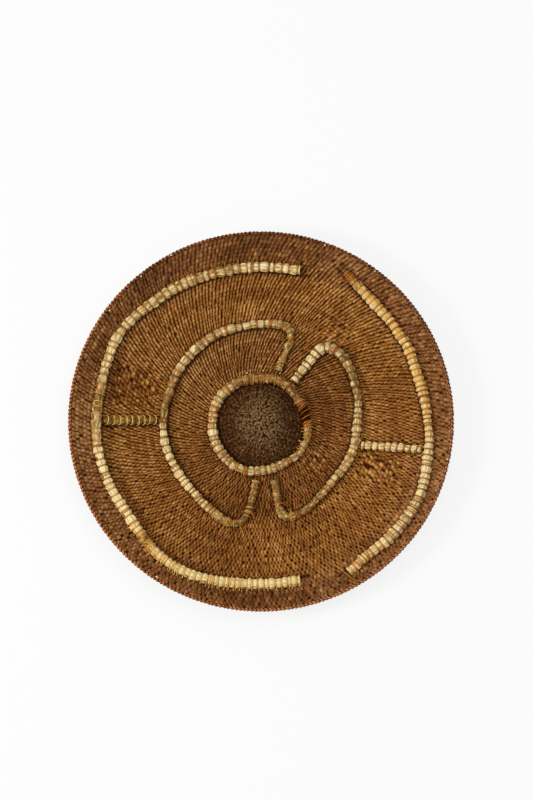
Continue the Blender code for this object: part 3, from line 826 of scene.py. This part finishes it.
# How far turns of the strand slant and bow along a rib, and single turns that cross others:
# their share of the rib's length and their slant
slants = {"right_spoke": 0.0034}
bows = {"left_spoke": 0.0022}
crossings = {"outer_left_arc": [(0.178, 0.0042), (0.186, -0.0012)],
             "centre_ring": [(0.93, 0.0020), (0.95, -0.0016)],
             "inner_left_arc": [(0.03, 0.0024), (0.07, -0.0024), (0.48, 0.0022), (0.487, -0.0022)],
             "outer_right_arc": [(0.022, 0.0026), (0.03, -0.0026)]}
# The closely bound end of a rib, the turns over the ring's bare stems, and the stretch of the
# ring where the strand also reaches inwards
bound_end, bound_pitch = {"outer_right_arc": 0.0115}, 0.0015
bare_turns, bare_slant = (0.026, 0.019, 0.005, -0.013, -0.031, -0.045), -0.0024
inward = {"centre_ring": (0.83, 0.95, 0.0042)}
# A rib shorter than this is tied more evenly and never twice in one place, and its ends are
# pinched
short_rib = 0.1
tie_spread, short_tie_spread = 0.15, 0.05
end_pinch, pinch_reach = 0.3, 0.0016
doubled_share = 0.25
foot_depth, inner_foot = 0.0001, 0.0004
tube_end = 0.08
# Places of the stems in a rib's section, across and up, as shares of its width and height
stem_spots = ((-0.30, 0.24), (0.30, 0.24), (0.0, 0.30), (-0.16, 0.62), (0.17, 0.60))
stem_thickness, stem_inset, stem_step = 0.0025, 0.0004, 0.0040
stem_wave, stem_wave_length = 0.00035, 0.0090
# Shares of the ring's length, from its start and its end, that husk and strand have worn off
husk_worn, strand_worn = 0.03, 0.035
# How unevenly husk swells from bay to bay and within a bay, and how far it shifts sideways
bay_swell, bay_flare, flared_share, bay_wander = 0.07, 0.11, 0.7, 0.00035
# Points on the husk's underside, and its height over the stitches
husk_under, husk_base = 5, 0.00015


def tie_places(rib, state, dice):
    """Distances along a rib at which the strand passes over it, by the spacing in its state."""
    gone = np.linspace(0, rib.length, 600)
    spacing = from_table(gone / rib.length, state, 4) * millimetre
    turns = np.concatenate([[0], np.cumsum(np.diff(gone) / spacing[1:])])
    count = round(turns[-1])
    even = np.interp((np.arange(count) + 0.5) * turns[-1] / count, turns, gone)
    uneven = tie_spread if rib.length > short_rib else short_tie_spread
    uneven = uneven * dice.normal(size=count).clip(-1.6, 1.6)
    return even + uneven * np.interp(even, gone, spacing)


def bitten(gone, ties):
    """How far the strand draws the husk in at a place, from 0 to 1."""
    return np.exp(-((gone[..., None] - ties) / bite_reach) ** 2).max(-1)


def arch(turn, half, tall):
    """Places on a rib's rounded section, across and up, by the angle from its left foot."""
    across = np.sign(np.cos(turn)) * np.abs(np.cos(turn)) ** arch_sides * half
    return across, np.sin(turn).clip(0) ** arch_top * tall


def tube(points, wide_way, half_wide, half_deep, sides=8):
    """Oval tubes along strips x along x 3 points, with their ends drawn in."""
    points = np.concatenate([points[:, :1], points, points[:, -1:]], 1)
    wide_way = np.concatenate([wide_way[:, :1], wide_way, wide_way[:, -1:]], 1)
    ahead = np.gradient(points, axis=1)
    ahead[:, 0], ahead[:, -1] = ahead[:, 1], ahead[:, -2]
    ahead /= np.linalg.norm(ahead, axis=-1, keepdims=True)
    out = np.cross(ahead, wide_way)
    out /= np.linalg.norm(out, axis=-1, keepdims=True)
    side = np.cross(ahead, out)
    turn = (np.arange(sides) * math.tau / sides)[None, None, :, None]
    grow = np.ones((1, points.shape[1], 1, 1))
    grow[:, (0, -1)] = tube_end
    half_wide = np.asarray(half_wide).reshape(-1, 1, 1, 1)
    return (points[:, :, None] + grow * half_deep * np.cos(turn) * out[:, :, None]
            + grow * half_wide * np.sin(turn) * side[:, :, None])


def tube_grain(tubes, around_step, along_step, own):
    """Which tube each point is on, and its grain: round the tube, along it, and its own."""
    which, reach, around = np.indices(tubes.shape[:3])
    return which, np.stack([around * around_step, reach * along_step, own[which]], -1)


def husk_finish(name, dark, straw, pale, white, stain_and_shade_colour, bare):
    """Dried husk: papery and matt, streaked along the rib. Its tone holds a shade for each bay,
    how far it has aged and how orange it is dyed. Aged husk splits and shows the stems."""
    material, tree, shader, tone, bite, pleat_shade, grain = new_material(
        name, [("tone", "Vector"), ("bite", "Fac"), ("pleat_shade", "Fac"), ("grain", "Vector")])
    bay, aged, dyed = add_node(tree, "SeparateXYZ", {0: tone}).outputs
    total = add_node(tree, "Math", {0: bay, 1: 0.12}, operation="MULTIPLY").outputs[0]
    for part, weight in ((streaks(tree, grain, 0.42, 0.10, 4.0), 1.2),
                         (streaks(tree, grain, 0.9, 0.5, 3.0), 0.45), (aged, -0.16)):
        total = add_node(tree, "Math", {0: part, 1: weight, 2: total},
                         operation="MULTIPLY_ADD").outputs[0]
    # Two stops share a place, so the lightest streaks are whitest at their edges
    stops = ((0.62, dark), (0.82, straw), (1.0, white), (1.0, pale))
    shade = add_node(tree, "ValToRGB", {0: total}, stops).outputs[0]
    dye = add_node(tree, "MapRange", {"Value": streaks(tree, grain, 0.25, 0.09, 2.0),
                                      "From Min": 0.32, "From Max": 0.58, "To Max": 1.7})
    dye = add_node(tree, "Math", {0: dyed, 1: dye.outputs[0]}, operation="MULTIPLY")
    strip = add_node(tree, "Math", {0: aged, 1: 0.30, 2: streaks(tree, grain, 0.33, 0.05, 2.0)},
                     operation="MULTIPLY_ADD")
    split = add_node(tree, "MapRange", {"Value": strip.outputs[0], "From Min": 0.69,
                                        "From Max": 0.79, "To Max": 0.85})
    # Beside the strand's turns the husk gets painted shade and orange staining
    tie_shade_and_stain = add_node(tree, "Math", {0: bite, 1: 2.0}, operation="POWER")
    tie_shade_and_stain = add_node(tree, "Math", {0: tie_shade_and_stain.outputs[0], 1: 0.85}, operation="MULTIPLY")
    # Creases get painted shade in the dark colour
    for share, layer, way in ((aged, (0.66, 0.64, 0.56, 1.0), "MULTIPLY"),
                              (dye.outputs[0], (0.88, 0.62, 0.33, 1.0), "MULTIPLY"),
                              (split.outputs[0], paint(bare), "MIX"), (pleat_shade, paint(dark), "MIX"),
                              (tie_shade_and_stain.outputs[0], paint(stain_and_shade_colour), "MIX")):
        shade = add_node(tree, "Mix", {"Factor": share, "A": shade, "B": layer},
                         data_type="RGBA", blend_type=way).outputs["Result"]
    bump = add_node(tree, "Bump", {"Height": total, "Strength": 0.8,
                                   "Distance": 0.4 * millimetre})
    feed(tree, shader, {"Base Color": shade, "Roughness": 0.7, "Specular IOR Level": 0.12,
                        "Normal": bump.outputs[0]})
    return material


def strand_finish(name, dark, orange, bright):
    """Skin of split cane: hard and glossy, browner where it is old and golden where it is new."""
    material, tree, shader, tone, grain = new_material(name, [("tone", "Fac"), ("grain", "Vector")])
    total = add_node(tree, "Math", {0: streaks(tree, grain, 3.0, 0.25, 2.0), 1: 0.5, 2: tone},
                     operation="MULTIPLY_ADD").outputs[0]
    ramp = add_node(tree, "ValToRGB", {0: total}, ((0.30, dark), (0.72, orange), (1.0, bright)))
    feed(tree, shader, {"Base Color": ramp.outputs[0], "Roughness": 0.4,
                        "Specular IOR Level": 0.15})
    return material


straw_husk = husk_finish("dry straw husk", "#8d6d38", "#d6b474", "#fce6a5", "#fff0b8", "#8a5018",
                         "#5e431f")
brown_husk = husk_finish("browned husk", "#5c421c", "#a27a3a", "#d8b266", "#ecce84", "#6a4418",
                         "#46300f")
orange_strand = strand_finish("orange cane skin", "#5e2d06", "#bd6a1c", "#f0b652")
yellow_strand = strand_finish("yellow cane skin", "#74420f", "#c68430", "#ecb95e")


def rib_stems(rib, name, dice):
    """Bundle of thin dry stems that runs the whole length of the rib."""
    gone = np.linspace(stem_inset, rib.length - stem_inset,
                       max(8, round(rib.length / stem_step)))
    size = rib.size(gone)
    stems = []
    for across, up in stem_spots:
        wobble = stem_wave * np.sin(gone / stem_wave_length + 6 * dice.random())
        stems.append(rib.point(gone, across * rib_width * size + wobble,
                               up * rib_height * size + rib_lift * 0.5))
    points = np.array(stems)
    ways = rib.point(gone, millimetre, 0) - rib.point(gone, 0, 0)
    tubes = tube(points, np.broadcast_to(ways, points.shape), stem_thickness / 2,
                 stem_thickness / 2, 7)
    which, grain = tube_grain(tubes, 1.0, 4.0, np.zeros(len(stems)))
    grain[..., 0] += 9.0 * which
    piece = strips(name + "_stems", tubes, {"grain": grain}, grass, closed=True)
    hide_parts(name + "_core")


def rib_husk(rib, name, material, dice, ties, state, outside):
    """Husk folded over the stems, bulging and pleated in the bays between the turns of strand.
    It has worn off the ring at its right side."""
    worn = husk_worn if name == "centre_ring" else 0
    start, end = worn * rib.length, (1 - worn) * rib.length
    gone = np.linspace(start, end, round((end - start) / station_gap) + 1)
    bay = np.searchsorted(ties, gone)
    bays = len(ties) + 1
    cuts = np.concatenate([[start - 4 * millimetre], ties, [end + 4 * millimetre]])
    phase = (gone - cuts[bay]) / (cuts[bay + 1] - cuts[bay]).clip(millimetre)
    near_tie = bitten(gone, ties)
    swell = (1 + bay_swell * dice.normal(size=bays).clip(-1.5, 1.5))[bay]
    swell = np.convolve(np.pad(swell, 2, mode="edge"), np.ones(5) / 5, "valid")
    flare = bay_flare * (1 - 2 * phase) * np.where(dice.random(bays) < flared_share, 1, -1)[bay]
    swell = swell + flare * (1 - near_tie)
    aside = (bay_wander * dice.normal(size=bays).clip(-1.5, 1.5))[bay] * (1 - near_tie)
    draw = 1 - tie_bite * near_tie
    if rib.length < short_rib:
        from_end = np.minimum(gone, rib.length - gone)
        draw = draw - end_pinch * np.exp(-(from_end / pinch_reach) ** 2)

    # The section: an arch over the stems, creased along the rib, and closed underneath
    turn = np.linspace(0, math.pi, 21)
    fold = dice.random((bays, 2))[bay] * math.tau
    crease = np.sin(7.0 * turn + fold[:, :1]) + 0.7 * np.sin(12.0 * turn + fold[:, 1:])
    crease = crease * (1 - near_tie)[:, None]
    half = (rib_width / 2 * rib.size(gone) * draw * swell)[:, None]
    tall = (rib_height * rib.size(gone) * draw * swell + rib_lift)[:, None]
    across, up = arch(turn, half, tall)
    across = across + crease_depth * crease * np.cos(turn) + aside[:, None]
    up = (up + crease_depth * crease * np.sin(turn)).clip(0)
    base = np.linspace(-0.8, 0.8, husk_under) * half
    across = np.concatenate([across, base], 1)
    up = np.concatenate([up, husk_base + 0 * base], 1)
    points = rib.point(gone[:, None], across, up)
    middle = rib.point(gone[:, None], 0 * across, 0.45 * tall + 0 * across)

    def with_ends(values):
        return np.concatenate([values[:1], values, values[-1:]])

    points = with_ends(points)
    points[[0, -1]] = middle[[0, -1]] + 0.1 * (points[[0, -1]] - middle[[0, -1]])
    gone, bay, near_tie, crease = map(with_ends, (gone, bay, near_tie, crease))
    share = (gone / rib.length)[:, None]
    spread = np.concatenate([turn * 5, math.pi * 5 + np.arange(1, husk_under + 1) * 1.5])
    grain = np.stack(np.broadcast_arrays(spread, gone[:, None] / millimetre,
                                         bay[:, None] * 7.3), -1)
    outer_side = np.concatenate([outside * np.cos(turn), np.zeros(husk_under)])
    dyed = from_table(share, state, 2) * (1 + 0.8 * outer_side)
    tone = np.stack(np.broadcast_arrays(dice.random(bays)[bay][:, None],
                                        from_table(share, state, 1), dyed.clip(0, 1)), -1)
    # Painted shade in the husk's creases, in its darkest colour
    pleat_shade = np.pad((-0.55 * crease - 0.22).clip(0, 0.62), ((0, 0), (0, husk_under)))
    marks = {"tone": tone[None], "grain": grain[None], "pleat_shade": pleat_shade[None],
             "bite": near_tie[None, :, None]}
    piece = strips(name + "_husk_wrap", points[None], marks, material, closed=True)
    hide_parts(name + "_husk")


def strand_passes(rib, name, dice, ties):
    """Where the strand crosses the rib and how far it slants: at the ties, doubled beside some
    of them, and crossed, bound close or wound over the bare stems at a few places."""
    doubled = ties[dice.random(len(ties)) < (doubled_share if rib.length > short_rib else 0)]
    if name == "centre_ring":
        low, high = strand_worn * rib.length, (1 - strand_worn) * rib.length
        ties, doubled = (places[(places > low) & (places < high)] for places in (ties, doubled))
    gone = np.concatenate([ties, doubled + (1.5 + 1.3 * dice.random(len(doubled))) * millimetre])
    slant = (strand_slant * dice.normal(size=len(gone))).clip(-2 * strand_slant, 2 * strand_slant)
    slant = slant + slants.get(name, 0)
    if name in crossings:
        shares, ways = np.array(crossings[name]).T
        gone, slant = np.append(gone, shares * rib.length), np.append(slant, ways)
    if name == "centre_ring":
        gone = np.append(gone, np.array(bare_turns) * rib.length)
        slant = np.append(slant, np.full(len(bare_turns), bare_slant))
    if name in bound_end:
        bound = np.arange(rib.length - bound_end[name], rib.length - millimetre, bound_pitch)
        gone, slant = np.append(gone, bound), np.append(slant, 0.4 * millimetre + 0 * bound)
    return ties, gone, slant


def rib_strand(rib, name, material, dice, ties, state, outside):
    """The lashing: its turns over the rib, bowed and loose in places, each with its feet caught
    in the tray beside the rib."""
    ties, gone, slant = strand_passes(rib, name, dice, ties)
    count = len(gone)
    shape = (count, 1)
    bow = np.pad(np.linspace(-1, 1, 15), 1, mode="edge")[None, :]
    curve = bows.get(name, 0) * (0.7 + 0.6 * dice.random(shape)) * (1 - bow ** 2)
    spot = gone[:, None] + slant[:, None] * bow + curve
    spot = spot if rib.closed else np.clip(spot, 0, rib.length)
    loose = 1 - bitten(spot, ties)
    draw = 1 - tie_bite * (1 - loose)
    stand = strand_depth * 0.42 + strand_loose * loose
    across, up = arch((1 - bow) * math.pi / 2, rib_width / 2 * rib.size(spot) * draw + stand,
                      rib_height * rib.size(spot) * draw + rib_lift + stand)
    reach = from_table(gone / rib.length, state, 5)[:, None] * millimetre
    reach = reach * (0.5 + dice.random(shape))
    low, high, far = inward.get(name, (0, 0, 0))
    inside = ((gone > low * rib.length) & (gone < high * rib.length))[:, None]
    short = inner_foot + far * inside * dice.random(shape)
    across[:, -1:] += reach if outside > 0 else short
    across[:, :1] -= reach if outside < 0 else short
    up[:, (0, -1)] = -foot_depth
    points = rib.point(spot, across, up)
    step = 0.5 * millimetre
    backwards = rib.point(spot - step, across, up) - rib.point(spot + step, across, up)
    wide = strand_breadths[name] / 2 * (1 + 0.15 * dice.normal(size=count))
    tubes = tube(points, backwards, wide, strand_depth / 2)
    chance = dice.random(count)
    which, grain = tube_grain(tubes, 0.4, 1.2, 60 * chance)
    tone = (0.35 * chance + 0.65 * from_table(gone / rib.length, state, 3))[which]
    piece = strips(name + "_strand", tubes, {"tone": tone, "grain": grain}, material,
                   closed=True)
    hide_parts(name + "_lashing")


usual_finish = ("husk", straw_husk, "lashing", orange_strand)
finishes = {"left_spoke": ("brown_husk", brown_husk, "yellow_lashing", yellow_strand)}
for number, name in enumerate(routes):
    dice = np.random.default_rng(40 + number)
    rib, state = ribs[name], np.array(states[name])
    ties = tie_places(rib, state, dice)
    middle = np.array([rib.length / 2])
    left, here = rib.point(middle, millimetre, 0)[0], rib.point(middle, 0, 0)[0]
    outside = 1.0 if np.hypot(*left[:2]) > np.hypot(*here[:2]) else -1.0
    husk_slot, husk, strand_slot, strand = finishes.get(name, usual_finish)
    rib_stems(rib, name, dice)
    rib_husk(rib, name, husk, dice, ties, state, outside)
    rib_strand(rib, name, strand, dice, ties, state, outside)


# Loose ends: tails of the lashing that were never tucked in, and scraps of husk caught in the
# stitches. Each is a line of places on the tray, in millimetres, with its height above it.
tails = [[(-21, -106.5, 7), (-15.5, -106.5, 9), (-10.5, -109, 7), (-7.5, -114, 1)],
         [(-26, -120, 2), (-24.5, -123.5, 1.5), (-22, -129.5, 1), (-20, -135, 0.6)],
         [(28.5, -105, 8), (28.3, -109, 6), (27.9, -113, 3), (27.4, -117.5, 0.4)],
         [(35, -104, 8), (35.8, -108, 6), (36.8, -112.5, 3), (37.6, -118, 0.4)],
         [(183, -30, 7), (189, -29, 7), (193.5, -34, 6), (190, -40, 5), (184, -41, 3)],
         [(86, -171, 6), (93, -177, 6), (100, -182.5, 3), (107, -188, 0.5)],
         [(99, -181, 1.5), (96, -185, 1), (92, -188.5, 0.5)],
         [(107, -15, 7), (113, -20, 8), (114, -26, 7), (111, -30, 4)]]
tail_height, tail_breadth = 0.0010, 0.0007
# The middle of each scrap, its angle in degrees and its length
scraps = [((-106.6, 198.6), 25, 2.2), ((-142.1, 173.4), 80, 2.0), ((-179.4, 132.1), 50, 2.4),
          ((75.8, 210.7), 110, 2.0), ((135.0, 179.4), 20, 1.8), ((202.5, -45.5), 60, 1.8),
          ((220.2, -46.6), 30, 2.4), ((-122.5, -187.2), 140, 3.6), ((-16.6, 60.7), 60, 2.0),
          ((2.4, 63.6), 100, 1.8), ((22.5, 60.5), 40, 2.2), ((35.5, 52.5), 120, 1.8),
          ((113.5, -7.0), 70, 3.0), ((111.0, 2.0), 40, 2.4), ((108.0, -26.0), 95, 2.4)]
scrap_height, scrap_breadth = 0.0006, 0.0014
scrap_age = -3.0


def lying(line, steps):
    """Smooth run of points through places on the tray, given in millimetres."""
    line = np.array(line, float)
    at = np.linspace(0, len(line) - 1, steps)
    low = np.minimum(at.astype(int), len(line) - 2)
    padded = run_on(line)
    x, y, up = smooth(*(padded[low + k] for k in range(4)), (at - low)[:, None]).T * millimetre
    return np.stack([x, y, upper(np.hypot(x, y)) + up], -1)


def lying_tubes(lines, height, breadth):
    """Oval tubes along lines that lie on the tray."""
    points = np.array(lines)
    return tube(points, np.broadcast_to((0.0, 0.0, 1.0), points.shape), height / 2, breadth / 2)


dice = np.random.default_rng(70)
tubes = lying_tubes([lying(tail, 24) for tail in tails], tail_height, tail_breadth)
which, grain = tube_grain(tubes, 0.4, 1.2, 9.0 * np.arange(len(tails)))
tone = (0.45 + 0.4 * dice.random(len(tails)))[which]
strips("loose_tails", tubes, {"tone": tone, "grain": grain}, orange_strand, closed=True)

curls = []
for (x, y), turned, long in scraps:
    turned = math.radians(turned)
    over, along = math.cos(turned) * long / 2, math.sin(turned) * long / 2
    curls.append(lying([(x - over, y - along, 0.5), (x, y, 1.2), (x + over, y + along, 0.7)], 7))
tubes = lying_tubes(curls, scrap_height, scrap_breadth)
which, grain = tube_grain(tubes, 2.0, 1.0, 7.3 * np.arange(len(scraps)))
tone = np.stack([dice.random(len(scraps))[which], scrap_age + 0 * which, 0 * which], -1)
strips("husk_scraps", tubes, {"tone": tone, "grain": grain}, straw_husk, closed=True)
